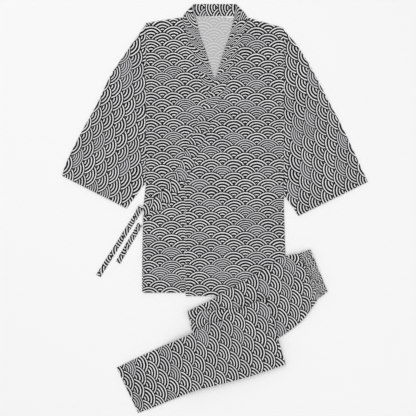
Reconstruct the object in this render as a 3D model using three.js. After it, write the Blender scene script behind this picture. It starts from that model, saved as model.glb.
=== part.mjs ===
// A jinbei set laid flat: a short wrap jacket with wide sleeves, spread front up, and its
// trousers, folded in three over one lower corner of the jacket.
//
// Millimetres, +Z up, +Y towards the neck, and the origin on the surface the set lies on.
// "Left" and "right" are the wearer's, so the left sleeve is on the +X side. The left front lies on
// top, and its okumi, the overlap strip, reaches across to the -X side. Every panel is a wall of
// cloth that lies on the ones below it, with a small gap between.

import * as THREE from 'three';

// ---------------------------------------------------------------- driving dimensions

const CLOTH = 1.2; // wall of a single layer
const BAND = 1.8; // wall of the collar band, which is sewn double
const LEG = 2.2; // one flattened trouser leg, its two layers together
const GAP = 0.3; // between pieces that meet
const AIR = 1; // between two runs of the folded trousers
const TIE = { width: 15, thick: 1.8 };
const NAPE_BOW = 26; // how far the back's top edge rises between the shoulder ends
const SLEEVE_PUFF = 1.8; // how far a sleeve's upper wall stands off its lower wall at most

const FLOOR_LEVEL = 0;
const UNDER_LEVEL = CLOTH + GAP; // the right front's underside
const UNDER_STACK = BAND + GAP; // what the right front adds below the left front
const JACKET_STACK = UNDER_LEVEL + UNDER_STACK + CLOTH + GAP; // the trousers' underside on the jacket
const RUN_STACK = 2 * LEG + GAP + AIR; // what one run of the trousers adds below the next

const WEARERS_LEFT = 1;
const WEARERS_RIGHT = -1;

// Half widths of the body, from the shoulders to the hem, on the wearer's right (-X) and left (+X).
const SIDE_SEAMS = [
  { y: 600, right: 207, left: 206 },
  { y: 75, right: 207, left: 206 },
  { y: 36, right: 211, left: 206 },
  { y: 0, right: 215, left: 206.3 },
  { y: -150, right: 218, left: 211 },
  { y: -300, right: 218, left: 212 },
];

// The collar band of the left front, from the nape fold to the far side: its free edge, and the
// edge sewn to the front. The right front's band is the same, mirrored.
const COLLAR_ROWS = [
  { free: [57, 577], sewn: [64, 613] },
  { free: [56, 570], sewn: [96, 573] },
  { free: [47, 530], sewn: [84, 519] },
  { free: [27, 470], sewn: [64, 458] },
  { free: [3, 394], sewn: [39, 380] },
  { free: [-31, 315], sewn: [5, 300] },
  { free: [-75, 205], sewn: [-39, 190] },
  { free: [-123, 100], sewn: [-90, 80] },
  { free: [-170, 40], sewn: [-143, 11] },
  { free: [-215, 10], sewn: [-215, -22] },
];
const SHOULDER_ROW = 1; // the collar row at the shoulder
const OKUMI_ROW = 7; // the collar row where the okumi's seam starts
const ROW_STEPS = 2; // sections to each row of the collar table
const FAR_SIDE = { left: 215, right: 205 }; // how far over each front's okumi reaches

// The hem of each layer, and the shoulder ends.
const HEMS = { back: -250, underFront: -248, leftFront: -262, leftOkumi: -252 };
const SHOULDER_ENDS = { right: 556, left: 541 };
const OKUMI_SEAM = 88; // distance of the okumi's seam from the centre line at the hem
const NAPE = { low: 577, high: 613, lowHalf: 57, highHalf: 64 };

// Each sleeve from the armhole to the cuff: the folded top edge and the underarm edge.
const SLEEVE_ROWS = {
  right: [
    { fold: [-207.4, 551], underarm: [-207.4, 77] },
    { fold: [-262, 474], underarm: [-222, 60] },
    { fold: [-312, 400], underarm: [-234, 43] },
    { fold: [-350, 320], underarm: [-245, 28] },
    { fold: [-409, 212], underarm: [-256, 13] },
    { fold: [-451, 124], underarm: [-262, 4] },
    { fold: [-458, 98], underarm: [-265, 0] },
  ],
  left: [
    { fold: [206.4, 535], underarm: [206.4, 39] },
    { fold: [243, 492], underarm: [217, 27] },
    { fold: [281, 434], underarm: [225, 15] },
    { fold: [338, 327], underarm: [233, 4] },
    { fold: [384, 239], underarm: [241, -8] },
    { fold: [437, 125], underarm: [247, -18] },
    { fold: [458, 80], underarm: [250, -22] },
  ],
};

// The ties' routes, from where they are sewn on to their free ends.
const TIE_ROUTES = {
  tie_upper: [
    [-223, 3, 4.6],
    [-229, -8, 3.4],
    [-238, -24, 1.4],
    [-252, -46, 1],
    [-286, -101, 1],
    [-322, -157, 1],
    [-350, -202, 1],
  ],
  tie_lower: [
    [-224.5, -46, 1],
    [-234, -64, 1],
    [-251, -93, 1],
    [-272, -129, 1],
    [-291, -162, 1],
  ],
};
const TIE_STEPS = { tie_upper: 14, tie_lower: 8 };

// The trousers lie in three runs. Each row is a section of the leg, from the outseam's edge to the
// inseam's edge, and bow is how far its middle reaches towards the +X side.
const FIRST_RUN = [
  { out: [252, -134], inner: [311, -266], bow: 0 },
  { out: [212, -143], inner: [284, -306], bow: 0 },
  { out: [141, -184], inner: [260, -336], bow: 0 },
  { out: [69, -226], inner: [194, -386], bow: 0 },
  { out: [-3, -269], inner: [75, -444], bow: 0 },
  { out: [-77, -305], inner: [-34, -504], bow: -4 },
];
const SECOND_RUN = [
  { out: [-77, -305], inner: [-34, -504], bow: -4 },
  { out: [-4, -304], inner: [40, -506], bow: 0 },
  { out: [77, -296], inner: [123, -492], bow: 0 },
  { out: [147, -269], inner: [206, -468], bow: 8 },
];
const THIRD_RUN = [
  { out: [147, -269], inner: [206, -468], bow: 8 },
  { out: [84, -297], inner: [109, -500], bow: 0 },
  { out: [24, -334], inner: [51, -516], bow: 0 },
  { out: [-12, -343], inner: [0, -529], bow: 0 },
  { out: [-63, -370], inner: [-58, -544], bow: 0 },
  { out: [-180, -423], inner: [-144, -579], bow: 0 },
  { out: [-272, -467], inner: [-206, -604], bow: 0 },
];
const LOWER_HEM = { out: [-295, -477], inner: [-230, -613], bow: 0 }; // the right leg reaches further

const WAIST_TOP = { out: [286, -123], inner: [336, -246] };
const WAIST_SEAM = { out: [253, -134], inner: [312, -265] };

// Where a layer comes down off the edge of the ones below it: it stays up for the first distance
// and is down after the second one more.
const FRONT_FALL = { flat: 38, fall: 70 };
const JACKET_FALL = { flat: 34, fall: 80 };
const RUN_FALL = { flat: 32, fall: 90 };

// ---------------------------------------------------------------- plane geometry

const point = ([x, y]) => new THREE.Vector3(x, y, 0);
const mirrored = ([x, y], side) => [x * side, y];
const sideName = (side) => (side === WEARERS_LEFT ? 'left' : 'right');
const evenly = (count) => Array.from({ length: count + 1 }, (_, index) => index / count);

/** A smooth edge through the given points, as a function of a share from 0 to 1. */
function edge(points) {
  const curve = new THREE.CatmullRomCurve3(points.map(point), false, 'centripetal');
  return (share) => curve.getPoint(share);
}

/** The body's half width at a height, between the rows of the side seam table. */
function sideSeam(side, y) {
  const column = sideName(side);
  const next = Math.max(1, SIDE_SEAMS.findIndex((row) => row.y <= y));
  const [above, below] = [SIDE_SEAMS[next - 1], SIDE_SEAMS[next]];
  const share = (above.y - y) / (above.y - below.y);
  return side * THREE.MathUtils.lerp(above[column], below[column], share);
}

/** The distance from a point to an outline, or 0 inside it. */
function distanceOutside(outline, x, y) {
  let inside = false;
  let nearest = Infinity;
  outline.forEach(([ax, ay], index) => {
    const [bx, by] = outline[(index + 1) % outline.length];
    const along = ((x - ax) * (bx - ax) + (y - ay) * (by - ay)) / ((bx - ax) ** 2 + (by - ay) ** 2);
    const share = THREE.MathUtils.clamp(along, 0, 1);
    nearest = Math.min(nearest, Math.hypot(x - ax - share * (bx - ax), y - ay - share * (by - ay)));
    if (ay > y !== by > y && x < ax + ((y - ay) / (by - ay)) * (bx - ax)) {
      inside = !inside;
    }
  });
  return inside ? 0 : nearest;
}

/** How much of its thickness a layer below lends at a point: 1 on it, 0 well outside its outline. */
function lift(outline, { flat, fall }, x, y) {
  return 1 - THREE.MathUtils.smoothstep(distanceOutside(outline, x, y), flat, flat + fall);
}

const rowsOutline = (rows) => [
  ...rows.map((row) => row.out),
  ...rows.map((row) => row.inner).reverse(),
];

// ---------------------------------------------------------------- closed meshes

/** Six times the volume that a list of triangles encloses, signed by which way they face. */
function signedVolume(vertices, triangles) {
  const corner = new THREE.Vector3();
  return triangles.reduce((sum, [a, b, c]) => {
    corner.crossVectors(vertices[b], vertices[c]);
    return sum + vertices[a].dot(corner);
  }, 0);
}

const quad = (a, b, c, d) => [[a, b, c], [a, c, d]];
const turned = (triangles) => triangles.map(([a, b, c]) => [a, c, b]);

function closedGeometry(vertices, triangles) {
  const outward = signedVolume(vertices, triangles) > 0;
  const faces = outward ? triangles : turned(triangles);
  const geometry = new THREE.BufferGeometry().setFromPoints(vertices);
  geometry.setIndex(faces.flat());
  geometry.computeVertexNormals();
  return geometry;
}

/**
 * The skin between loops of equal length, one after the other. The second half of a loop runs back
 * under the first, and its squares are cut along the same diagonals, so that the wall is even.
 */
function skin(loops, first = 0) {
  const size = loops[0].length;
  const triangles = [];
  for (let row = 0; row + 1 < loops.length; row += 1) {
    const [here, there] = [first + row * size, first + (row + 1) * size];
    for (let index = 0; index < size; index += 1) {
      const next = (index + 1) % size;
      const [a, b, c, d] = [here + index, here + next, there + next, there + index];
      triangles.push(...(index < size / 2 ? quad(a, b, c, d) : quad(b, c, d, a)));
    }
  }
  return triangles;
}

/** A flat end over a loop that runs out along one face and back along the other, with pointed sides. */
function endCap(size, first) {
  const triangles = [[first, first + 1, first + size - 1]];
  for (let index = 1; index < size / 2 - 1; index += 1) {
    const back = first + size - index;
    triangles.push(...quad(first + index, first + index + 1, back - 1, back));
  }
  triangles.push([first + size / 2 - 1, first + size / 2, first + size / 2 + 1]);
  return triangles;
}

/** A flat end over a loop whose second half runs back straight under its first. */
function squareCap(size, first) {
  const triangles = [];
  for (let index = 0; index + 1 < size / 2; index += 1) {
    const back = first + size - 1 - index;
    triangles.push(...quad(first + index, first + index + 1, back - 1, back));
  }
  return triangles;
}

/** A solid through loops, closed at both ends. */
function solidThrough(loops, cap = endCap) {
  const size = loops[0].length;
  const last = (loops.length - 1) * size;
  const triangles = [...turned(skin(loops)), ...cap(size, 0), ...turned(cap(size, last))];
  return closedGeometry(loops.flat(), triangles);
}

/** The loop round one section: along the upper points and back along the lower ones. */
function sectionLoop(start, upper, end, lower) {
  return [start, ...upper, end, ...[...lower].reverse()];
}

// ---------------------------------------------------------------- the jacket's layers

/** A panel through straight sections from start to end, lying on the level that height gives. */
function panel({ sections, columns, height, thickness = CLOTH }) {
  const loops = sections.map(({ start, end, bow = 0 }) => {
    const under = evenly(columns).map((across) => {
      const spot = start.clone().lerp(end, across);
      spot.y += bow * 4 * across * (1 - across);
      return spot.setZ(height(spot.x, spot.y));
    });
    const over = under.map((spot) => spot.clone().setZ(spot.z + thickness));
    return [...over, ...under.reverse()];
  });
  return solidThrough(loops, squareCap);
}

/** The outline of what the right front covers, which the left front comes down off. */
const UNDER_OUTLINE = [
  ...COLLAR_ROWS.map((row) => mirrored(row.free, WEARERS_RIGHT)),
  [sideSeam(WEARERS_LEFT, -260), -260],
  [sideSeam(WEARERS_RIGHT, -260), -260],
  [sideSeam(WEARERS_RIGHT, 550), 550],
];
const JACKET_OUTLINE = [
  [-206, 550],
  [205, 541],
  [212, -262],
  [-218, -262],
];

const layerHeights = {
  floor: () => FLOOR_LEVEL,
  under: () => UNDER_LEVEL,
  over: (x, y) => UNDER_LEVEL + UNDER_STACK * lift(UNDER_OUTLINE, FRONT_FALL, x, y),
};

function backPanel() {
  const sections = evenly(10).map((share) => {
    const ends = [
      [WEARERS_RIGHT, SHOULDER_ENDS.right],
      [WEARERS_LEFT, SHOULDER_ENDS.left],
    ].map(([side, high]) => {
      const y = THREE.MathUtils.lerp(high, HEMS.back, share);
      return point([sideSeam(side, y), y]);
    });
    return { start: ends[0], end: ends[1], bow: NAPE_BOW * (1 - share) ** 3 };
  });
  return panel({ sections, columns: 10, height: layerHeights.floor });
}

/** The points of one edge of the collar band between two rows of its table, moved by a gap. */
function collarEdge(side, column, firstRow, lastRow, gap = [0, 0]) {
  const far = FAR_SIDE[sideName(side)];
  const curve = edge(COLLAR_ROWS.map((row) => row[column]));
  const shares = evenly((lastRow - firstRow) * ROW_STEPS).map((share) => {
    return THREE.MathUtils.lerp(firstRow, lastRow, share) / (COLLAR_ROWS.length - 1);
  });
  return shares.map(curve).map(({ x, y }) => {
    return point(mirrored([Math.max(x + gap[0], -far), y + gap[1]], side));
  });
}

/** A front from the shoulder to the hem, between the collar band and okumi and the side seam. */
function frontPanel(side, height, hem) {
  const shoulder = SHOULDER_ENDS[sideName(side)];
  const sewn = collarEdge(side, 'sewn', SHOULDER_ROW, OKUMI_ROW, [GAP, 0]);
  const corner = sewn.at(-1);
  const low = point(mirrored([-OKUMI_SEAM + GAP, hem], side));
  const straight = evenly(5).slice(1).map((share) => corner.clone().lerp(low, share));
  const sections = [...sewn, ...straight].map((start, row) => {
    const y = Math.min(start.y, shoulder - row);
    return { start, end: point([sideSeam(side, y), y]) };
  });
  return panel({ sections, columns: 8, height });
}

/** The overlap strip between a front's vertical seam, its collar band and the far side. */
function okumiPanel(side, height, hem) {
  const high = collarEdge(side, 'sewn', OKUMI_ROW, COLLAR_ROWS.length - 1, [-GAP, -2 * GAP]);
  const sections = high.map((start, row) => {
    const x = row === 0 ? side * (-OKUMI_SEAM - GAP) : start.x;
    return { start, end: point([x, hem]) };
  });
  return panel({ sections, columns: 9, height });
}

function collarBand(side, height) {
  const last = COLLAR_ROWS.length - 1;
  const sewn = collarEdge(side, 'sewn', 0, last);
  const sections = collarEdge(side, 'free', 0, last).map((start, row) => ({ start, end: sewn[row] }));
  return panel({ sections, columns: 2, height, thickness: BAND });
}

function napeBand() {
  const sections = evenly(6).map((share) => {
    const along = THREE.MathUtils.lerp(-1, 1, share);
    const start = point([along * (NAPE.highHalf - GAP), NAPE.high]);
    return { start, end: point([along * (NAPE.lowHalf - GAP), NAPE.low]) };
  });
  return panel({ sections, columns: 2, height: layerHeights.under, thickness: BAND });
}

/** A sleeve: a flattened tube of cloth, folded along its top, open at the armhole and the cuff. */
function sleeveTube(rows) {
  const [fold, underarm] = [edge(rows.map((row) => row.fold)), edge(rows.map((row) => row.underarm))];
  const inset = CLOTH + GAP / 2;
  const section = (share, lowest, highest) => {
    const [high, low] = [fold(share), underarm(share)];
    const inwards = low.clone().sub(high).normalize();
    const reach = (highest - lowest) / 2;
    const [first, last] = [
      high.clone().addScaledVector(inwards, inset),
      low.clone().addScaledVector(inwards, -inset),
    ];
    const puff = SLEEVE_PUFF * Math.sin(Math.PI * THREE.MathUtils.lerp(0.15, 0.75, share));
    const spots = evenly(10).map((across) => first.clone().lerp(last, across));
    const over = spots.map((spot, column) => {
      const rise = puff * Math.sin((Math.PI * column) / (spots.length - 1));
      return spot.clone().setZ(highest + rise);
    });
    const under = spots.map((spot) => spot.clone().setZ(lowest));
    const middle = (lowest + highest) / 2;
    const start = first.clone().addScaledVector(inwards, -reach).setZ(middle);
    const end = last.clone().addScaledVector(inwards, reach).setZ(middle);
    return sectionLoop(start, over, end, under);
  };
  const outer = evenly(12).map((share) => section(share, FLOOR_LEVEL, 2 * CLOTH + GAP));
  const inner = evenly(12).map((share) => section(share, FLOOR_LEVEL + CLOTH, CLOTH + GAP));
  const size = outer[0].length;
  const total = outer.length * size;
  const ring = (first) =>
    Array.from({ length: size }, (_, index) => {
      const next = (index + 1) % size;
      return quad(first + index, first + next, total + first + next, total + first + index);
    }).flat();
  return closedGeometry(
    [...outer.flat(), ...inner.flat()],
    [...turned(skin(outer)), ...skin(inner, total), ...ring(0), ...turned(ring(total - size))],
  );
}

/** A flat tie: a rounded strip drawn along its route. */
function tieStrip(route, steps) {
  const [halfThick, halfWide] = [TIE.thick / 2, TIE.width / 2];
  const outline = new THREE.Shape([
    new THREE.Vector2(-halfThick, -halfWide + halfThick),
    new THREE.Vector2(0, -halfWide),
    new THREE.Vector2(halfThick, -halfWide + halfThick),
    new THREE.Vector2(halfThick, 0),
    new THREE.Vector2(halfThick, halfWide - halfThick),
    new THREE.Vector2(0, halfWide),
    new THREE.Vector2(-halfThick, halfWide - halfThick),
    new THREE.Vector2(-halfThick, 0),
  ]);
  const path = new THREE.CatmullRomCurve3(route.map(([x, y, z]) => new THREE.Vector3(x, y, z)));
  return new THREE.ExtrudeGeometry(outline, { steps, extrudePath: path, bevelEnabled: false });
}

// ---------------------------------------------------------------- the folded trousers

const jacketLift = (x, y) => JACKET_STACK * lift(JACKET_OUTLINE, JACKET_FALL, x, y);
const FIRST_OUTLINE = rowsOutline([WAIST_TOP, ...FIRST_RUN]);
const SECOND_OUTLINE = rowsOutline(SECOND_RUN);
const firstBase = jacketLift;
const secondBase = (x, y) => firstBase(x, y) + RUN_STACK * lift(FIRST_OUTLINE, RUN_FALL, x, y);
const thirdBase = (x, y) => secondBase(x, y) + RUN_STACK * lift(SECOND_OUTLINE, RUN_FALL, x, y);

const LOWER_SLAB = LEG / 2;
const UPPER_SLAB = LEG + GAP + LEG / 2;

/** A section's point at a share of its width, kept in by inset at its ends, with the bow of its middle. */
function acrossSection(out, inner, bow, inset, share) {
  const spot = out.clone().lerp(inner, share);
  spot.addScaledVector(inner.clone().sub(out).normalize(), inset * (1 - 2 * share));
  spot.x += bow * 4 * share * (1 - share);
  return spot;
}

/**
 * A strip that lies in runs, turned over at each fold. A run has its two edges and its bow as
 * functions of the share of its length, its base and its level. At a fold the strip follows half a
 * circle from one run's level to the next one's, pushed outwards from the fold's line.
 */
function foldedStrip({ runs, turns, columns, thickness }) {
  const shares = evenly(columns);
  const half = thickness / 2;
  const stations = [];
  runs.forEach((run, number) => {
    const facing = number % 2 === 0 ? -1 : 1;
    const middle = (spot) => run.base(spot.x, spot.y) + run.level;
    run.steps.forEach((share) => {
      const spots = shares.map((across) => {
        const spot = acrossSection(run.out(share), run.inner(share), run.bow(share), half, across);
        return spot.setZ(middle(spot));
      });
      stations.push({ spots, normal: new THREE.Vector3(0, 0, facing) });
    });
    const next = runs[number + 1];
    if (next) {
      const fold = stations.at(-1).spots;
      for (let turn = 1; turn < turns; turn += 1) {
        const angle = (Math.PI * turn) / turns;
        const spots = fold.map((spot) => {
          const [low, high] = [spot.z, next.base(spot.x, spot.y) + next.level];
          const radius = (high - low) / 2;
          const pushed = spot.clone().addScaledVector(run.away, radius * Math.sin(angle));
          return pushed.setZ((high + low) / 2 - radius * Math.cos(angle));
        });
        const normal = run.away.clone().multiplyScalar(-facing * Math.sin(angle));
        stations.push({ spots, normal: normal.setZ(facing * Math.cos(angle)) });
      }
    }
  });
  const loops = stations.map(({ spots, normal }) => {
    const width = spots.at(-1).clone().sub(spots[0]).normalize();
    return sectionLoop(
      spots[0].clone().addScaledVector(width, -half),
      spots.map((spot) => spot.clone().addScaledVector(normal, half)),
      spots.at(-1).clone().addScaledVector(width, half),
      spots.map((spot) => spot.clone().addScaledVector(normal, -half)),
    );
  });
  return solidThrough(loops);
}

/** The horizontal direction square to a fold's line, away from the run. */
function awayFrom(row, towards) {
  const line = point(row.inner).sub(point(row.out));
  return new THREE.Vector3(-line.y, line.x, 0).normalize().multiplyScalar(towards);
}

function run(rows, steps, base, level, away) {
  const bows = rows.map((row) => row.bow);
  const bow = (share) => {
    const place = share * (rows.length - 1);
    const before = Math.min(Math.floor(place), rows.length - 2);
    return THREE.MathUtils.lerp(bows[before], bows[before + 1], place - before);
  };
  const [out, inner] = [edge(rows.map((row) => row.out)), edge(rows.map((row) => row.inner))];
  return { out, inner, bow, steps: evenly(steps), base, level, away };
}

/** One trouser leg through the three runs. The upper leg of a run is the lower one of the next. */
function trouserLeg(levels, hem) {
  const third = hem ? [...THIRD_RUN.slice(0, -1), hem] : THIRD_RUN;
  const runs = [
    run(FIRST_RUN, 10, firstBase, levels[0], awayFrom(FIRST_RUN.at(-1), -1)),
    run(SECOND_RUN, 7, secondBase, levels[1], awayFrom(SECOND_RUN.at(-1), 1)),
    run(third, 13, thirdBase, levels[2], null),
  ];
  return foldedStrip({ runs, turns: 5, columns: 7, thickness: LEG });
}

/** The elastic waistband, folded in half at the centre seam: one run along each half. */
function waistBand() {
  const rows = evenly(3).map((share) => ({
    out: point(WAIST_TOP.out).lerp(point(WAIST_TOP.inner), share).toArray().slice(0, 2),
    inner: point(WAIST_SEAM.out).lerp(point(WAIST_SEAM.inner), share).toArray().slice(0, 2),
    bow: 0,
  }));
  const away = awayFrom(rows.at(-1), 1);
  const runs = [
    run(rows, 5, firstBase, LOWER_SLAB, away),
    run([...rows].reverse(), 5, firstBase, UPPER_SLAB, null),
  ];
  return foldedStrip({ runs, turns: 4, columns: 2, thickness: LEG });
}

// ---------------------------------------------------------------- the assembled set

const printedCotton = (color) => new THREE.MeshStandardMaterial({ color, roughness: 0.92, metalness: 0 });
const COLOURS = { face: 0x6f6f70, inside: 0xc9c9c9, band: 0x5c5c5e, tie: 0x4c4c4e, trousers: 0x666668 };

const set = new THREE.Group();

function addPiece(name, geometry, color) {
  const mesh = new THREE.Mesh(geometry, printedCotton(color));
  mesh.name = name;
  set.add(mesh);
}

addPiece('back', backPanel(), COLOURS.inside);
addPiece('front_right', frontPanel(WEARERS_RIGHT, layerHeights.under, HEMS.underFront), COLOURS.face);
addPiece('okumi_right', okumiPanel(WEARERS_RIGHT, layerHeights.under, HEMS.underFront), COLOURS.face);
addPiece('collar_right', collarBand(WEARERS_RIGHT, layerHeights.under), COLOURS.band);
addPiece('front_left', frontPanel(WEARERS_LEFT, layerHeights.over, HEMS.leftFront), COLOURS.face);
addPiece('okumi_left', okumiPanel(WEARERS_LEFT, layerHeights.over, HEMS.leftOkumi), COLOURS.face);
addPiece('collar_left', collarBand(WEARERS_LEFT, layerHeights.over), COLOURS.band);
addPiece('collar_back', napeBand(), COLOURS.band);
addPiece('sleeve_right', sleeveTube(SLEEVE_ROWS.right), COLOURS.face);
addPiece('sleeve_left', sleeveTube(SLEEVE_ROWS.left), COLOURS.face);
Object.entries(TIE_ROUTES).forEach(([name, route]) => {
  addPiece(name, tieStrip(route, TIE_STEPS[name]), COLOURS.tie);
});
addPiece('leg_right', trouserLeg([LOWER_SLAB, UPPER_SLAB, LOWER_SLAB], LOWER_HEM), COLOURS.trousers);
addPiece('leg_left', trouserLeg([UPPER_SLAB, LOWER_SLAB, UPPER_SLAB]), COLOURS.trousers);
addPiece('waistband', waistBand(), COLOURS.trousers);

export default set;
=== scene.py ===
import bmesh
import bpy
import numpy as np
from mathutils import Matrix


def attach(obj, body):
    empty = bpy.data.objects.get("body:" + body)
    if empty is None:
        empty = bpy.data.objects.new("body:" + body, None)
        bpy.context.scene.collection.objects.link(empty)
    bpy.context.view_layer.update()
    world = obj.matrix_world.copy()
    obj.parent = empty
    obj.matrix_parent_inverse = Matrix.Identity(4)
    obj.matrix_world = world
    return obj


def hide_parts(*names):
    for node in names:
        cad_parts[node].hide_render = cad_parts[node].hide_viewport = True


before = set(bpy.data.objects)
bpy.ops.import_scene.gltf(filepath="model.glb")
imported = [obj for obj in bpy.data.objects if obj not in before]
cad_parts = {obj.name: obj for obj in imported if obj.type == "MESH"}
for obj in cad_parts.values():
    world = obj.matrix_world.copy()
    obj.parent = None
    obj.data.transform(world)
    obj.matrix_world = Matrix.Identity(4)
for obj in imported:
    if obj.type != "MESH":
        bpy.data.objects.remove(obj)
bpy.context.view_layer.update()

# A jinbei set laid flat, in millimetres until a piece is made. "Left" and "right" are the wearer's,
# so the left sleeve is on the +X side.

MM = 0.001
HALF = 0.45  # half the thickness of one layer of cotton
HALF_BAND = 0.75  # half the thickness of the collar band, which is sewn double
HALF_TIE = 0.8
STEP = 5.0  # spacing of the grids
UNDER_LEVEL = 1.5
UNDER_STACK = 2.1
JACKET_STACK = 5.1
RUN_STACK = 5.7
LEG = 2.2
LEG_GAP = 0.3
LOWER_SLAB = LEG / 2
UPPER_SLAB = LEG + LEG_GAP + LEG / 2
RUN_ANGLES = [22, 182, 23]  # where the scales bulge on each run, in degrees
LEFT = 1
RIGHT = -1

SIDE_SEAMS = {
    LEFT: [(600, 206), (36, 206), (0, 206.3), (-150, 211), (-300, 212)],
    RIGHT: [(600, 207), (75, 207), (36, 211), (0, 215), (-150, 218), (-300, 218)],
}
COLLAR_FREE = [
    (57, 577), (56, 570), (47, 530), (27, 470), (3, 394),
    (-31, 315), (-75, 205), (-123, 100), (-170, 40), (-215, 10),
]
COLLAR_SEWN = [
    (64, 613), (96, 573), (84, 519), (64, 458), (39, 380),
    (5, 300), (-39, 190), (-90, 80), (-143, 11), (-215, -22),
]
FAR_SIDE = {LEFT: 215, RIGHT: 201}
SHOULDER_ENDS = {LEFT: 541, RIGHT: 556}
HEM_BACK = -250
HEM_FRONTS = {LEFT: -262, RIGHT: -248}
HEM_OKUMI = {LEFT: -252, RIGHT: -248}
OKUMI_SEAM = 88
SLEEVE_FOLDS = {
    RIGHT: [
        (-207.4, 551), (-262, 474), (-312, 400), (-350, 320),
        (-409, 212), (-451, 124), (-458, 98),
    ],
    LEFT: [(206.4, 535), (243, 492), (281, 434), (338, 327), (384, 239), (437, 125), (458, 80)],
}
SLEEVE_UNDERARMS = {
    RIGHT: [(-207.4, 77), (-222, 60), (-234, 43), (-245, 28), (-256, 13), (-262, 4), (-265, 0)],
    LEFT: [(206.4, 39), (217, 27), (225, 15), (233, 4), (241, -8), (247, -18), (250, -22)],
}
UPPER_TIE = [
    (-220.5, 7, 4.9), (-223, 3, 4.6), (-229, -8, 3.4), (-238, -24, 1.4), (-252, -46, 1),
    (-286, -101, 1), (-322, -157, 1), (-350, -202, 1),
]
LOWER_TIE = [(-224.5, -46, 1), (-234, -64, 1), (-251, -93, 1), (-272, -129, 1), (-291, -162, 1)]
TIE_WIDTH = 15

# The trousers' three runs: the outseam's edge and the inseam's edge of each row.
FIRST_OUT = [(252, -134), (212, -143), (141, -184), (69, -226), (-3, -269), (-77, -305)]
FIRST_INNER = [(311, -266), (284, -306), (260, -336), (194, -386), (75, -444), (-34, -504)]
SECOND_OUT = [(-77, -305), (-4, -304), (77, -296), (147, -269)]
SECOND_INNER = [(-34, -504), (40, -506), (123, -492), (206, -468)]
THIRD_OUT = [(147, -269), (84, -297), (24, -334), (-12, -343), (-63, -370), (-180, -423), (-272, -467)]
THIRD_INNER = [(206, -468), (109, -500), (51, -516), (0, -529), (-58, -544), (-144, -579), (-206, -604)]
LOWER_HEM = [(-295, -477), (-230, -613)]
WAIST_TOP = [(286, -123), (336, -246)]
WAIST_SEAM = [(254, -134), (313, -265)]

# Main creases of the jacket: from, to, half width and height.
BODY_CREASES = [
    ((-205, 5), (-110, 70), 13, 1.3),
    ((-205, -12), (-70, -40), 15, 1.5),
    ((-200, -30), (-95, -130), 14, 1.1),
    ((-150, -70), (-158, -245), 20, 1.4),
    ((-40, -60), (-28, -240), 22, 1.2),
    ((60, 120), (48, -90), 24, 1.3),
    ((140, 250), (118, 20), 22, 1.5),
    ((190, 60), (60, -30), 18, 1.2),
    ((110, 545), (190, 400), 18, 1.3),
    ((-110, 545), (-188, 410), 18, 1.3),
    ((-190, 110), (-90, 240), 18, 1.4),
    ((-150, 380), (-120, 180), 22, 1.1),
]
SLEEVE_CREASES = {
    RIGHT: [
        ((-216, 95), (-300, 330), 16, 2.2),
        ((-228, 66), (-365, 215), 15, 1.9),
        ((-245, 38), (-410, 120), 14, 1.6),
        ((-225, 420), (-255, 200), 18, 1.5),
        ((-300, 290), (-345, 90), 16, 1.3),
    ],
    LEFT: [
        ((214, 60), (290, 320), 16, 2.2),
        ((226, 36), (350, 190), 15, 1.9),
        ((240, 8), (400, 80), 14, 1.6),
        ((228, 400), (258, 170), 18, 1.5),
        ((300, 260), (340, 60), 16, 1.3),
    ],
}
TROUSER_CREASES = [
    ((-60, -330), (-15, -470), 9, 0.9),
    ((-30, -325), (10, -480), 12, 0.7),
    ((120, -300), (165, -470), 11, 0.9),
    ((90, -330), (128, -460), 13, 0.8),
    ((60, -340), (-120, -430), 18, 1.5),
    ((10, -400), (-190, -480), 17, 1.3),
    ((-60, -470), (-210, -560), 16, 1.4),
    ((250, -220), (120, -300), 17, 1.6),
    ((265, -270), (180, -350), 14, 1.4),
    ((215, -160), (110, -215), 15, 1.2),
]


# ---------------------------------------------------------------- curves, heights and creases


def smooth_curve(points, shares):
    """Points of a curve through a table's rows. Between two rows it is a cubic whose end slopes come
    from the neighbouring rows, each weighted by the square root of its distance."""
    rows = np.asarray(points, float)
    rows = np.vstack([2 * rows[0] - rows[1], rows, 2 * rows[-1] - rows[-2]])
    place = np.clip(shares, 0, 1) * (len(rows) - 3)
    first = np.minimum(place.astype(int), len(rows) - 4)
    t = (place - first)[:, None]
    a, b, c, d = (rows[first + k] for k in range(4))
    ab, bc, cd = (np.sqrt(np.linalg.norm(q - p, axis=1))[:, None] for p, q in ((a, b), (b, c), (c, d)))
    rise = ((b - a) / ab - (c - a) / (ab + bc) + (c - b) / bc) * bc
    fall = ((c - b) / bc - (d - b) / (bc + cd) + (d - c) / cd) * bc
    return b + rise * t + (3 * (c - b) - 2 * rise - fall) * t**2 + (2 * (b - c) + rise + fall) * t**3


def evenly(count):
    """Shares from 0 to 1, an equal step apart."""
    return np.linspace(0, 1, count)


def lerp(a, b, share):
    """The value at a share of the way from a to b."""
    return a + (b - a) * share


def smoothstep(value, low, high):
    """0 below low, 1 above high, and a cubic ease between them."""
    t = np.clip((value - low) / (high - low), 0, 1)
    return t * t * (3 - 2 * t)


def side_seam(side, y):
    """The body's half width at a height, straight between the rows of its table."""
    rows = SIDE_SEAMS[side][::-1]
    return side * np.interp(y, [row[0] for row in rows], [row[1] for row in rows])


def outside(outline, x, y):
    """The distance from each point to a closed outline, and 0 inside it by the even-odd rule."""
    nearest = np.full(np.shape(x), 1e9)
    inside = np.zeros(np.shape(x), bool)
    for (ax, ay), (bx, by) in zip(outline, outline[1:] + outline[:1]):
        along = (x - ax) * (bx - ax) + (y - ay) * (by - ay)
        share = np.clip(along / ((bx - ax) ** 2 + (by - ay) ** 2), 0, 1)
        nearest = np.minimum(nearest, np.hypot(x - ax - share * (bx - ax), y - ay - share * (by - ay)))
        if ay != by:
            inside ^= ((ay > y) != (by > y)) & (x < ax + (y - ay) / (by - ay) * (bx - ax))
    return np.where(inside, 0, nearest)


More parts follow.
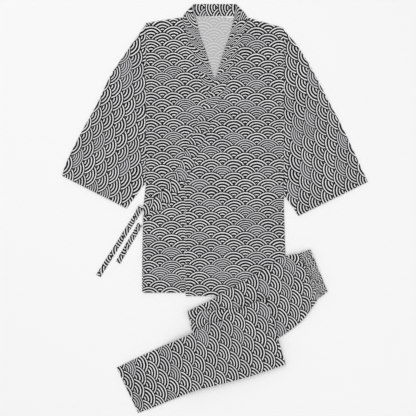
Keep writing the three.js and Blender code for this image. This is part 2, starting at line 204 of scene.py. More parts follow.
def lift(outline, flat, fall, x, y):
    """How much of a lower layer's thickness a layer still has: 1 on it, easing to 0 past its edge."""
    return 1 - smoothstep(outside(outline, x, y), flat, flat + fall)


def creases(table, x, y):
    """The sum of soft ridges: each is a bell curve across its line, and eases away at both ends."""
    total = np.zeros(np.shape(x))
    for (ax, ay), (bx, by), width, height in table:
        length = np.hypot(bx - ax, by - ay)
        along = ((x - ax) * (bx - ax) + (y - ay) * (by - ay)) / length**2
        bend = 0.05 * length * np.sin(np.pi * along * 1.3)
        across = ((x - ax) * (by - ay) - (y - ay) * (bx - ax)) / length + bend
        fade = smoothstep(along, -0.1, 0.35) * (1 - smoothstep(along, 0.6, 1.1))
        total += height * np.exp(-((across / width) ** 2)) * fade
    return total


def ripple(x, y):
    """The low unevenness of cloth that lies by itself: two bent sine waves, 0 to about 0.5 mm."""
    wave = np.sin(x / 41 + 1.7 * np.sin(y / 73)) + np.sin(y / 53 - 1.3 * np.sin(x / 61))
    return 0.12 * (wave + 2)


UNDER_OUTLINE = [(-x, y) for x, y in COLLAR_FREE] + [(212, -260), (-218, -260), (-207, 550)]
JACKET_OUTLINE = [(-206, 550), (205, 541), (212, -262), (-218, -262)]
FIRST_OUTLINE = [WAIST_TOP[0]] + FIRST_OUT + FIRST_INNER[::-1] + [WAIST_TOP[1]]
SECOND_OUTLINE = SECOND_OUT + SECOND_INNER[::-1]
THIRD_OUTLINE = THIRD_OUT + THIRD_INNER[::-1]


def clear_of_trousers(x, y):
    """0 under the trousers, where they press the jacket flat, and 1 well away from them."""
    return smoothstep(outside(FIRST_OUTLINE, x, y), 0, 45)


def body_swell(x, y):
    """The jacket's creases and ripple, which fade to nothing under the trousers."""
    return (creases(BODY_CREASES, x, y) + ripple(x, y)) * clear_of_trousers(x, y)


def nape_drop(y):
    """How far the collar comes down towards the surface behind the neck."""
    return 1.4 * smoothstep(y, 578, 612)


def under_height(x, y):
    """The level under the right front: one layer up, with half of the swell."""
    return UNDER_LEVEL + 0.5 * body_swell(x, y) - nape_drop(y)


def over_height(x, y):
    """The level under the left front: raised by the right front wherever that lies below it."""
    stack = UNDER_STACK * lift(UNDER_OUTLINE, 38, 70, x, y)
    return UNDER_LEVEL + stack + body_swell(x, y) - nape_drop(y)


def first_base(x, y):
    """What the lowest run of the trousers lies on: the jacket, or the floor beside it."""
    return JACKET_STACK * lift(JACKET_OUTLINE, 34, 80, x, y)


def second_base(x, y):
    """What the middle run lies on: the first one's base, and the first run where there is one."""
    return first_base(x, y) + RUN_STACK * lift(FIRST_OUTLINE, 32, 90, x, y)


def third_base(x, y):
    """What the top run lies on: the second one's base, and the second run where there is one."""
    return second_base(x, y) + RUN_STACK * lift(SECOND_OUTLINE, 32, 90, x, y)


def waist_share(x, y):
    """The distance from the waist seam, and the place along it."""
    (ax, ay), (bx, by) = WAIST_SEAM
    length = np.hypot(bx - ax, by - ay)
    away = ((y - ay) * (bx - ax) - (x - ax) * (by - ay)) / length
    along = ((x - ax) * (bx - ax) + (y - ay) * (by - ay)) / length
    return -away, along


def gathers(along, away=0.0):
    """Uneven gathers of an elastic waist: waves of changing length that lean a little."""
    lean = along + 0.07 * away
    return 0.5 + 0.3 * np.sin(lean / 1.45 + 1.6 * np.sin(lean / 9)) + 0.2 * np.sin(lean / 2.3 + 1.1)


def trouser_swell(cover, x, y):
    """Creases and waist gathers of one run, only where no other run covers it."""
    shown = np.ones(np.shape(x))
    for outline in cover:
        shown = shown * smoothstep(outside(outline, x, y), 0, 30)
    away, along = waist_share(x, y)
    pulled = 1.7 * gathers(along, away) * np.exp(-np.abs(away) / 24)
    return shown * (creases(TROUSER_CREASES, x, y) + ripple(x, y) + pulled)


# ---------------------------------------------------------------- grids and cloth


def lines(length, rim, step=STEP, near=(2.2, 3.4, 4.6)):
    """Places along a length: close together round both turned edges, even between."""
    turned = rim * np.array([0.0, 0.134, 0.5, 1.0])
    edge = np.concatenate([turned, np.array(near)])
    count = max(3, int(round((length - 2 * edge[-1]) / step)))
    even = np.linspace(edge[-1], length - edge[-1], count + 1)
    return np.concatenate([edge[:-1], even, length - edge[-2::-1]])


def across_lines(lengths, rim, step=STEP, near=(2.2, 3.4, 4.6)):
    """lines() for every section, each with its own length: the edges keep their distances in mm."""
    typical = float(np.max(lengths))
    places = lines(typical, rim, step, near)
    edge = rim + 4
    share = np.clip((places - edge) / (typical - 2 * edge), 0, 1)
    each = np.asarray(lengths)[:, None]
    inner = edge + share * (each - 2 * edge)
    return np.where(share == 0, places, np.where(share == 1, each - (typical - places), inner))


def resampled(points, places):
    """Points at given distances along a dense line of points."""
    steps = np.concatenate([[0], np.cumsum(np.linalg.norm(np.diff(points, axis=0), axis=1))])
    return np.stack([np.interp(places, steps, points[:, k]) for k in range(points.shape[1])], axis=1)


def length_of(points):
    """The length of a line of points: the sum of its steps."""
    return float(np.linalg.norm(np.diff(points, axis=0), axis=1).sum())


def rounded(distance, radius):
    """The height of a quarter circle: 0 at an edge, the radius from there on."""
    share = np.clip(distance / radius, 0, 1)
    return radius * np.sqrt(1 - (1 - share) ** 2)


def normals_of(spots, wrap=False):
    """Unit normals: the cross product of the differences along the two directions of the grid."""
    down = np.gradient(spots, axis=0)
    if wrap:
        ring = np.concatenate([spots[:, -2:-1], spots, spots[:, 1:2]], axis=1)
        over = (ring[:, 2:] - ring[:, :-2]) / 2
    else:
        over = np.gradient(spots, axis=1)
    normal = np.cross(down, over)
    return normal / np.maximum(np.linalg.norm(normal, axis=2, keepdims=True), 1e-9)


def corners_of(values):
    """The four corners' values of every square of a grid."""
    return np.stack([values[:-1, :-1], values[:-1, 1:], values[1:, 1:], values[1:, :-1]], axis=2)


def make_cloth(name, node, spots, outward, half, print_map, seam_map, material):
    """One closed piece of cloth: its printed face is the middle surface plus half the thickness
    along the outward normal, its wrong side the same the other way, and they meet at the edges."""
    rows, columns = half.shape
    offset = outward * half[..., None]
    faces = np.concatenate([(spots + offset).reshape(-1, 3), (spots - offset).reshape(-1, 3)]) * MM
    index = corners_of(np.arange(rows * columns).reshape(rows, columns)).reshape(-1, 4)
    quads = np.concatenate([index, index[:, ::-1] + rows * columns])
    mesh = bpy.data.meshes.new(name)
    mesh.vertices.add(len(faces))
    mesh.vertices.foreach_set("co", faces.ravel())
    mesh.loops.add(quads.size)
    mesh.loops.foreach_set("vertex_index", quads.ravel().astype(np.int32))
    mesh.polygons.add(len(quads))
    mesh.polygons.foreach_set("loop_start", np.arange(0, quads.size, 4, dtype=np.int32))
    mesh.polygons.foreach_set("loop_total", np.full(len(quads), 4, dtype=np.int32))
    for layer, values in (("Print", print_map), ("Seam", seam_map)):
        corner = values if values.ndim == 4 else corners_of(values)
        corner = corner.reshape(-1, 4, 2)
        both = np.concatenate([corner, corner[:, ::-1]]) * MM
        mesh.uv_layers.new(name=layer).uv.foreach_set("vector", both.ravel())
    side = mesh.attributes.new("wrong_side", "FLOAT", "POINT")
    side.data.foreach_set("value", np.repeat([0.0, 1.0], rows * columns))
    mesh.update(calc_edges=True)
    built = bmesh.new()
    built.from_mesh(mesh)
    bmesh.ops.remove_doubles(built, verts=built.verts, dist=2e-6)
    bmesh.ops.dissolve_degenerate(built, edges=built.edges, dist=1e-7)
    bmesh.ops.recalc_face_normals(built, faces=built.faces)
    if built.calc_volume(signed=True) < 0:
        bmesh.ops.reverse_faces(built, faces=built.faces)
    built.to_mesh(mesh)
    built.free()
    mesh.polygons.foreach_set("use_smooth", np.ones(len(mesh.polygons), bool))
    mesh.materials.append(material)
    piece = bpy.data.objects.new(name, mesh)
    bpy.context.scene.collection.objects.link(piece)
    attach(piece, "root")
    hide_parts(node)
    return piece


def turned_map(x, y, angle, centre=(0, 0)):
    """Flat print coordinates, turned so that the scales bulge towards an angle in degrees."""
    turn = np.radians(angle - 90)
    x, y = x - centre[0], y - centre[1]
    return np.stack([x * np.cos(turn) + y * np.sin(turn), y * np.cos(turn) - x * np.sin(turn)], axis=-1)


def panel(name, node, start, end, height, print_centre=(0, 0), half=HALF, hems=(0, 0, 0, 0),
          closing=None, face_up=True, material=None, maps=None):
    """A flat panel between two edges: straight sections from start to end, on the level of height.
    hems are the stitch lines' distances from the first and last row and from the start and end."""
    rail = (length_of(start) + length_of(end)) / 2
    down = lines(rail, half)
    start, end = (resampled(edge, down / rail * length_of(edge)) for edge in (start, end))
    widths = np.linalg.norm(end - start, axis=1)
    over = across_lines(widths, half)
    flat = start[:, None] + (end - start)[:, None] * (over / widths[:, None])[..., None]
    x, y = flat[..., 0], flat[..., 1]
    from_ends = [
        np.broadcast_to(down[:, None], over.shape),
        np.broadcast_to((rail - down)[:, None], over.shape),
        over,
        widths[:, None] - over,
    ]
    z = height(x, y) + half
    if closing is not None:
        z = closing(x, y, z, from_ends)
    spots = np.dstack([x, y, z])
    nearest = np.min(from_ends, axis=0)
    seams = [
        (distance - hem, along)
        for distance, hem, along in zip(from_ends, hems, (over, over, from_ends[0], from_ends[0]))
        if hem
    ]
    offset, along = np.full(x.shape, 50.0), x
    thick = np.full(x.shape, half)
    for away, place in seams:
        along = np.where(np.abs(away) < np.abs(offset), place, along)
        offset = np.where(np.abs(away) < np.abs(offset), away, offset)
        thick = thick + 0.14 * (1 - smoothstep(away, -1.0, 1.5))
    thick = thick - 0.16 * np.exp(-((offset / 1.1) ** 2))
    thick = thick * rounded(nearest, half) / half
    normal = normals_of(spots)
    upward = np.sign(normal[..., 2:3].mean())
    normal = normal * upward * (1 if face_up else -1)
    print_map = maps(x, y, from_ends) if maps else turned_map(x, y, 90, print_centre)
    return make_cloth(
        name, node, spots, normal, thick, print_map, np.dstack([along, offset]), material
    )


# ---------------------------------------------------------------- materials


def wiring(tree):
    """Two short hands for a node tree: add makes a node and feeds it, calc is a Math node."""

    def feed(socket, value):
        if isinstance(value, bpy.types.NodeSocket):
            tree.links.new(value, socket)
        else:
            socket.default_value = value

    def add(kind, inputs, **settings):
        node = tree.nodes.new(kind)
        for key, value in settings.items():
            setattr(node, key, value)
        for socket, value in inputs.items():
            feed(node.inputs[socket], value)
        return node

    def calc(operation, *values):
        node = tree.nodes.new("ShaderNodeMath")
        node.operation = operation
        for socket, value in zip(node.inputs, values):
            feed(socket, value)
        return node.outputs[0]

    return add, calc


def new_group(name, inputs, outputs):
    """An empty shader node group with its named sockets, and its two end nodes."""
    group = bpy.data.node_groups.new(name, "ShaderNodeTree")
    for label, kind, value in inputs:
        socket = group.interface.new_socket(name=label, in_out="INPUT", socket_type=kind)
        if value is not None:
            socket.default_value = value
    for label in outputs:
        group.interface.new_socket(name=label, in_out="OUTPUT", socket_type="NodeSocketFloat")
    given = group.nodes.new("NodeGroupInput").outputs
    made = group.nodes.new("NodeGroupOutput").inputs
    return group, given, made


def wave_scales_group():
    """Overlapping wave scales. Rows of discs are half a width apart in turn, and each row covers the
    one above it, so a point belongs to the lowest disc that it lies in. Inside a disc the lines are
    rings at an even pitch from its rim, a little different on each scale."""
    group, given, made = new_group(
        "wave_scales",
        [
            ("Vector", "NodeSocketVector", None),
            ("Scale Width", "NodeSocketFloat", 0.0684),
            ("Row Step", "NodeSocketFloat", 0.0198),
            ("Radius", "NodeSocketFloat", 0.042),
            ("Ring Pitch", "NodeSocketFloat", 0.0084),
            ("Line Share", "NodeSocketFloat", 0.2),
            ("Hand Wobble", "NodeSocketFloat", 0.0035),
        ],
        ["Line", "Tone", "Shade"],
    )
    add, calc = wiring(group)
    width, step, radius = given["Scale Width"], given["Row Step"], given["Radius"]
    noise = add("ShaderNodeTexNoise", {"Vector": given["Vector"], "Scale": 34.0, "Detail": 1.0})
    centred = add(
        "ShaderNodeVectorMath", {0: noise.outputs["Color"], 1: (0.5, 0.5, 0.5)}, operation="SUBTRACT"
    )
    scaled = add(
        "ShaderNodeVectorMath", {0: centred.outputs[0], "Scale": given["Hand Wobble"]}, operation="SCALE"
    )
    moved = add("ShaderNodeVectorMath", {0: given["Vector"], 1: scaled.outputs[0]}, operation="ADD")
    place = add("ShaderNodeSeparateXYZ", {0: moved.outputs[0]})
    u, v = place.outputs[0], place.outputs[1]

    def disc(row):
        """The nearest disc of a row: its number along the row, and the distance from its centre."""
        shift = calc("MULTIPLY", calc("FLOORED_MODULO", row, 2.0), 0.5)
        column = calc("ROUND", calc("SUBTRACT", calc("DIVIDE", u, width), shift))
        number = calc("ADD", column, shift)
        aside = calc("SUBTRACT", u, calc("MULTIPLY", number, width))
        above = calc("SUBTRACT", v, calc("MULTIPLY", row, step))
        square = calc("ADD", calc("MULTIPLY", aside, aside), calc("MULTIPLY", above, above))
        return number, calc("SQRT", square)

    lower = calc("CEIL", calc("DIVIDE", calc("SUBTRACT", v, radius), step))
    upper = calc("ADD", lower, 1.0)
    lower_number, lower_reach = disc(lower)
    upper_number, upper_reach = disc(upper)
    covers = calc("LESS_THAN", lower_reach, radius)

    def chosen(first, second):
        return calc("ADD", second, calc("MULTIPLY", covers, calc("SUBTRACT", first, second)))

    reach = chosen(lower_reach, upper_reach)
    name = add(
        "ShaderNodeCombineXYZ",
        {0: chosen(lower_number, upper_number), 1: chosen(lower, upper), 2: 3.7},
    )
    chance = add("ShaderNodeTexWhiteNoise", {"Vector": name.outputs[0]}, noise_dimensions="3D")
    chances = add("ShaderNodeSeparateColor", {0: chance.outputs["Color"]})
    fine = calc("GREATER_THAN", chances.outputs[0], 0.8)
    spread = calc("ADD", calc("MULTIPLY", chances.outputs[1], 0.14), calc("MULTIPLY", fine, -0.18))
    pitch = calc("MULTIPLY", given["Ring Pitch"], calc("ADD", spread, 0.93))
    rings = calc("DIVIDE", calc("SUBTRACT", radius, reach), pitch)
    from_line = calc("ABSOLUTE", calc("SUBTRACT", calc("FRACT", rings), 0.57))
    hand = add("ShaderNodeTexNoise", {"Vector": given["Vector"], "Scale": 160.0, "Detail": 2.0})
    uneven = calc("MULTIPLY", calc("SUBTRACT", hand.outputs["Fac"], 0.5), 0.16)
    half_line = calc("ADD", given["Line Share"], uneven)
    line = add(
        "ShaderNodeMapRange",
        {
            "Value": calc("SUBTRACT", from_line, half_line),
            "From Min": -0.045,
            "From Max": 0.045,
            "To Min": 1.0,
            "To Max": 0.0,
        },
    )
    dot = calc("LESS_THAN", reach, 0.0036)
    made_line = calc("MAXIMUM", line.outputs[0], dot)
    group.links.new(made_line, made["Line"])
    group.links.new(chance.outputs["Value"], made["Tone"])
    group.links.new(calc("MULTIPLY", fine, chances.outputs[2]), made["Shade"])
    return group


def weave_group():
    """Plain weave: the product of two rows of waves one thread apart, with slubs of soft noise."""
    group, given, made = new_group(
        "cotton_weave",
        [
            ("Vector", "NodeSocketVector", None),
            ("Thread Pitch", "NodeSocketFloat", 0.0006),
        ],
        ["Height", "Fleck"],
    )
    add, calc = wiring(group)
    place = add("ShaderNodeSeparateXYZ", {0: given["Vector"]})
    full_turn = 2 * np.pi
    waves = [
        calc("SINE", calc("MULTIPLY", calc("DIVIDE", place.outputs[k], given["Thread Pitch"]), full_turn))
        for k in range(2)
    ]
    slub = add("ShaderNodeTexNoise", {"Vector": given["Vector"], "Scale": 420.0, "Detail": 3.0})
    cloud = add("ShaderNodeTexNoise", {"Vector": given["Vector"], "Scale": 22.0, "Detail": 2.0})
    thread = calc("MULTIPLY", calc("MULTIPLY", waves[0], waves[1]), 0.5)
    group.links.new(calc("ADD", thread, slub.outputs["Fac"]), made["Height"])
    both = calc("ADD", slub.outputs["Fac"], cloud.outputs["Fac"])
    group.links.new(calc("MULTIPLY", both, 0.5), made["Fleck"])
    return group


def stitch_group():
    """Running stitches: dashes along the seam map's first coordinate, where the second is near 0."""
    group, given, made = new_group(
        "running_stitch",
        [
            ("Vector", "NodeSocketVector", None),
            ("Stitch Length", "NodeSocketFloat", 0.003),
            ("Thread", "NodeSocketFloat", 0.0004),
        ],
        ["Mask"],
    )
    add, calc = wiring(group)
    place = add("ShaderNodeSeparateXYZ", {0: given["Vector"]})
    near = calc("LESS_THAN", calc("ABSOLUTE", place.outputs[1]), given["Thread"])
    dash = calc("LESS_THAN", calc("FRACT", calc("DIVIDE", place.outputs[0], given["Stitch Length"])), 0.66)
    group.links.new(calc("MULTIPLY", near, dash), made["Mask"])
    return group


WAVES = wave_scales_group()
WEAVE = weave_group()
STITCH = stitch_group()


PRINT_GROUND = (0.002, 0.002, 0.0026)
PRINT_LINE = (0.93, 0.93, 0.94)
PRINT_LINE_SHARE = 0.165  # half a line's width, as a share of the ring pitch


def printed_cotton(name, thread=0.0006):
    """Cotton printed on one face: off-white wave lines on black, and a pale wrong side on which the
    print shows faintly. The weave and the stitches are raised a little."""
    material = bpy.data.materials.new(name)
    material.use_nodes = True
    tree = material.node_tree
    add, calc = wiring(tree)
    shader = tree.nodes["Principled BSDF"]
    print_map = add("ShaderNodeUVMap", {}, uv_map="Print").outputs[0]
    seam_map = add("ShaderNodeUVMap", {}, uv_map="Seam").outputs[0]
    side = add("ShaderNodeAttribute", {}, attribute_name="wrong_side").outputs["Fac"]
    waves = add("ShaderNodeGroup", {}, node_tree=WAVES)
    tree.links.new(print_map, waves.inputs["Vector"])
    waves.inputs["Line Share"].default_value = PRINT_LINE_SHARE
    weave = add("ShaderNodeGroup", {}, node_tree=WEAVE)
    tree.links.new(print_map, weave.inputs["Vector"])
    weave.inputs["Thread Pitch"].default_value = thread
    stitch = add("ShaderNodeGroup", {}, node_tree=STITCH)
    tree.links.new(seam_map, stitch.inputs["Vector"])

    def mixed(factor, first, second):
        node = add("ShaderNodeMix", {0: factor}, data_type="RGBA")
        for socket, value in ((node.inputs[6], first), (node.inputs[7], second)):
            if isinstance(value, bpy.types.NodeSocket):
                tree.links.new(value, socket)
            else:
                socket.default_value = (*value, 1)
        return node.outputs[2]

    grey_ground = mixed(calc("MULTIPLY", waves.outputs["Shade"], 0.3), PRINT_GROUND, (0.16, 0.16, 0.175))
    soft_line = mixed(calc("MULTIPLY", waves.outputs["Tone"], 0.4), PRINT_LINE, (0.5, 0.5, 0.52))
    printed = mixed(waves.outputs["Line"], grey_ground, soft_line)
    dusty = mixed(calc("MULTIPLY", weave.outputs["Fleck"], 0.025), printed, (0.45, 0.45, 0.46))
    sewn = mixed(calc("MULTIPLY", stitch.outputs["Mask"], 0.8), dusty, (0.03, 0.03, 0.034))
    faint = mixed(waves.outputs["Line"], (0.47, 0.47, 0.47), (0.69, 0.69, 0.69))
    worn = mixed(calc("MULTIPLY", weave.outputs["Fleck"], 0.2), faint, (0.6, 0.6, 0.6))
    tree.links.new(mixed(side, sewn, worn), shader.inputs["Base Color"])
    rough = calc("ADD", calc("MULTIPLY", weave.outputs["Fleck"], 0.12), 0.83)
    tree.links.new(rough, shader.inputs["Roughness"])
    raised = calc("ADD", weave.outputs["Height"], calc("MULTIPLY", stitch.outputs["Mask"], 2.0))
    bump = add("ShaderNodeBump", {"Strength": 0.35, "Distance": 0.00012, "Height": raised})
    tree.links.new(bump.outputs[0], shader.inputs["Normal"])
    shader.inputs["Specular IOR Level"].default_value = 0.12
    shader.inputs["Sheen Weight"].default_value = 0.02
    shader.inputs["Sheen Roughness"].default_value = 0.5
    return material


BODY_COTTON = printed_cotton("printed_body_cotton")
INSIDE_COTTON = printed_cotton("back_panel_cotton")
COLLAR_COTTON = printed_cotton("collar_band_cotton", thread=0.00055)
TIE_COTTON = printed_cotton("tie_cotton")
TROUSER_COTTON = printed_cotton("printed_trouser_cotton", thread=0.00065)


# ---------------------------------------------------------------- camera, light and floor

camera = bpy.data.objects.new("camera", bpy.data.cameras.new("camera"))
bpy.context.scene.collection.objects.link(camera)
CAMERA_HEIGHT = 3.0
VIEW_WIDTH = 1.248
camera.location = (-0.021, 0.0015, CAMERA_HEIGHT)
camera.data.sensor_width = 36
camera.data.lens = 36 * CAMERA_HEIGHT / VIEW_WIDTH
bpy.context.scene.camera = camera
bpy.context.scene.view_settings.view_transform = "Standard"

world = bpy.data.worlds.new("studio")
world.use_nodes = True
world.node_tree.nodes["Background"].inputs["Color"].default_value = (1, 1, 1, 1)
world.node_tree.nodes["Background"].inputs["Strength"].default_value = 0.77
bpy.context.scene.world = world


def soft_light(name, location, size, power):
    """A square area light that points at the middle of the set."""
    lamp = bpy.data.lights.new(name, "AREA")
    lamp.size = size
    lamp.energy = power
    holder = bpy.data.objects.new(name, lamp)
    holder.location = location
    direction = -holder.location
    holder.rotation_mode = "QUATERNION"
    holder.rotation_quaternion = direction.to_track_quat("-Z", "Y")
    bpy.context.scene.collection.objects.link(holder)


soft_light("key", (-1.0, 1.3, 2.9), 2.2, 20)
soft_light("fill", (1.1, -1.2, 2.9), 2.4, 13)

floor_mesh = bpy.data.meshes.new("floor")
FLOOR_HALF = 6.0
FLOOR_LEVEL = -0.0003
floor_corners = [(x, y, FLOOR_LEVEL) for x, y in ((-FLOOR_HALF, -FLOOR_HALF), (FLOOR_HALF, -FLOOR_HALF),
                                                  (FLOOR_HALF, FLOOR_HALF), (-FLOOR_HALF, FLOOR_HALF))]
floor_mesh.from_pydata(floor_corners, [], [(0, 1, 2, 3)])
floor = bpy.data.objects.new("floor", floor_mesh)
bpy.context.scene.collection.objects.link(floor)
floor_paint = bpy.data.materials.new("pale_floor")
floor_paint.use_nodes = True
floor_shader = floor_paint.node_tree.nodes["Principled BSDF"]
floor_shader.inputs["Base Color"].default_value = (0.93, 0.93, 0.93, 1)
floor_shader.inputs["Roughness"].default_value = 0.9
floor_mesh.materials.append(floor_paint)


# ---------------------------------------------------------------- the ties


def tie(name, node, route, phase):
    """A flat tie: a strip carried along its route, level across its width and rolled a few degrees,
    with both long edges and both ends turned in, and stitches along the two long edges."""
    dense = smooth_curve(route, evenly(400))
    total = length_of(dense)
    along = lines(total, HALF_TIE, 3.0)
    path = resampled(dense, along)
    ahead = np.gradient(path, axis=0)
    aside = np.stack([-ahead[:, 1], ahead[:, 0], np.zeros(len(path))], axis=1)
    aside = aside / np.linalg.norm(aside, axis=1, keepdims=True)
    roll = 0.05 * np.sin(along / 26 + phase)
    aside[:, 2] = roll
    over = lines(TIE_WIDTH, HALF_TIE, 1.2, near=(1.6, 2.2))
    spots = path[:, None] + aside[:, None] * (over - TIE_WIDTH / 2)[None, :, None]
    spots[..., 2] = np.maximum(spots[..., 2] + 0.25 * np.abs(roll)[:, None], HALF_TIE)
    from_side = np.minimum(over, TIE_WIDTH - over)[None, :]
    from_end = np.minimum(along, total - along)[:, None]
    half = rounded(np.minimum(from_side, from_end), HALF_TIE)
    half = half * (1 - 0.22 * np.exp(-(((from_side - 2.2) / 0.6) ** 2)))
    normal = normals_of(spots)
    normal = normal * np.sign(normal[..., 2:3].mean())
    grid = np.broadcast_to(along[:, None], half.shape), np.broadcast_to(over[None], half.shape)
    print_map = turned_map(grid[1] * 1.1 + 17, grid[0], 118, (phase * 9, 0))
    seam_map = np.dstack([grid[0], np.broadcast_to(from_side - 2.2, half.shape)])
    piece = make_cloth(name, node, spots, normal, half, print_map, seam_map, TIE_COTTON)


tie("upper_tie", "tie_upper", UPPER_TIE, 0.6)
tie("lower_tie", "tie_lower", LOWER_TIE, 2.1)


# ---------------------------------------------------------------- the jacket's body


SEAM_TURN = 4.0  # how far from a seam a panel starts to bend towards its neighbour
SEAM_LEVEL = 1.15
SEAM_SHARE = 0.9
SEAM_RISE = 0.45
NECK_HALF = 98  # no shoulder seam nearer the middle than this
HEM = 20  # from a hem's edge to its stitches


def near_seam(distance):
    """1 on a seam, easing to 0 away from it on a quarter circle."""
    return 1 - rounded(distance, SEAM_TURN) / SEAM_TURN


def shut_side(x, y, z, from_ends):
    """Brings a front's side and shoulder down, or up, to the back that they are sewn to."""
    z = lerp(z, SEAM_LEVEL, SEAM_SHARE * near_seam(from_ends[3]))
    return lerp(z, SEAM_LEVEL, SEAM_SHARE * near_seam(from_ends[0]) * (np.abs(x) > NECK_HALF))


def back_panel():
    """The back, wrong side up: its top edge rises to the nape as a parabola that fades downwards."""
    y = {side: lerp(SHOULDER_ENDS[side], HEM_BACK, evenly(200)) for side in (LEFT, RIGHT)}
    start, end = (np.stack([side_seam(side, y[side]), y[side]], axis=1) for side in (RIGHT, LEFT))

    def closing(x, y, z, from_ends):
        near = near_seam(np.minimum(from_ends[2], from_ends[3]))
        top = near_seam(from_ends[0]) * (np.abs(x) > NECK_HALF)
        return z + SEAM_RISE * np.maximum(near, top)

    piece = panel(
        "back_panel", "back", start, end, lambda x, y: 0 * x, print_centre=(-4, 3), closing=closing,
        hems=(0, HEM, 0, 0), face_up=False, material=INSIDE_COTTON,
    )
    mesh = piece.data
    place = np.empty(len(mesh.vertices) * 3)
    mesh.vertices.foreach_get("co", place)
    place = place.reshape(-1, 3)
    share = np.clip((0.545 - place[:, 1]) / 0.8, 0, 1)
    across = np.clip(1 - (place[:, 0] / 0.207) ** 2, 0, 1)
    place[:, 1] += 0.026 * (1 - share) ** 3 * across
    mesh.vertices.foreach_set("co", place.ravel())
    mesh.update()


def collar_edge(points, side, first, last, gap=(0, 0)):
    """Part of one edge of the collar band, kept short of the far side."""
    places = lerp(first, last, evenly(240)) / (len(points) - 1)
    curve = smooth_curve(points, places) + np.array(gap)
    curve[:, 0] = np.maximum(curve[:, 0], -FAR_SIDE[side])
    return curve * np.array([side, 1])


def front_panel(side, name, node, height, centre):
    """A front: from the collar and the okumi's seam out to the shoulder and the side seam."""
    sewn = collar_edge(COLLAR_SEWN, side, 1, 7, (0.3, 0))
    low = np.array([side * (-OKUMI_SEAM + 0.3), HEM_FRONTS[side]])
    start = np.vstack([sewn, lerp(sewn[-1], low, evenly(160)[1:, None])])
    drop = np.minimum(start[:, 1], SHOULDER_ENDS[side] - 14 * evenly(len(start)))
    end = np.stack([side_seam(side, drop), drop], axis=1)
    piece = panel(
        name, node, start, end, height, print_centre=centre, hems=(0, HEM, 0, 0),
        closing=shut_side, material=BODY_COTTON,
    )


def okumi(side, name, node, height, centre):
    """A front's overlap strip: from the collar's lower end straight down to the hem."""
    high = collar_edge(COLLAR_SEWN, side, 7, 9, (-0.3, -0.6))
    high = high[np.append(True, np.abs(np.diff(high[:, 0])) > 1e-6)]
    high[0, 0] = side * (-OKUMI_SEAM - 0.3)
    low = np.stack([high[:, 0], np.full(len(high), HEM_OKUMI[side])], axis=1)
    piece = panel(
        name, node, high, low, height, print_centre=centre, hems=(0, 8, 0, HEM), material=BODY_COTTON,
    )


def collar_band(side, name, node, height):
    """A front's half of the collar band. The print runs along it, on from the nape's."""
    free = collar_edge(COLLAR_FREE, side, 0, 9)
    sewn = collar_edge(COLLAR_SEWN, side, 0, 9)
    total = length_of((free + sewn) / 2)

    def maps(x, y, from_ends):
        along = from_ends[1] if side == LEFT else from_ends[0] + total
        return np.dstack([from_ends[2] + 9, along])

    piece = panel(
        name, node, free, sewn, height, half=HALF_BAND, hems=(0, 0, 0, 2.2), maps=maps,
        material=COLLAR_COTTON,
    )


def nape_band():
    """The short piece of the collar band across the nape, straight between its two folds."""
    start = np.stack([lerp(-63.7, 63.7, evenly(60)), np.full(60, 613.0)], axis=1)
    end = np.stack([lerp(-56.7, 56.7, evenly(60)), np.full(60, 577.0)], axis=1)

    def maps(x, y, from_ends):
        return np.dstack([from_ends[3] + 9, 31 - x])

    piece = panel(
        "nape_collar_band", "collar_back", start, end, under_height, half=HALF_BAND, maps=maps,
        material=COLLAR_COTTON,
    )


back_panel()
front_panel(RIGHT, "right_front", "front_right", under_height, (13, -8))
okumi(RIGHT, "right_okumi", "okumi_right", under_height, (5, 2))
collar_band(RIGHT, "right_collar_band", "collar_right", under_height)
front_panel(LEFT, "left_front", "front_left", over_height, (-12, -50))
okumi(LEFT, "left_okumi", "okumi_left", over_height, (-164.7, -57))
collar_band(LEFT, "left_collar_band", "collar_left", over_height)
nape_band()


# ---------------------------------------------------------------- the sleeves


def tube_walls(centre, reach, normal):
    """A flattened tube's middle surface and its outward normals. Each section runs over the centre
    surface at plus reach and back at minus reach, along the normal, and meets at its two edges."""
    ring = round_tube(centre + normal * reach[..., None], centre - normal * reach[..., None])
    outward = normals_of(ring, wrap=True)
    sample = ring.shape[1] // 4
    turn = np.sign((outward[:, sample] * normal[:, sample]).sum(axis=1).mean())
    return ring, outward * turn


def round_tube(front, back):
    """Values of a tube's first wall, and then of its second one in reverse."""
    return np.concatenate([front, back[:, -2::-1]], axis=1)


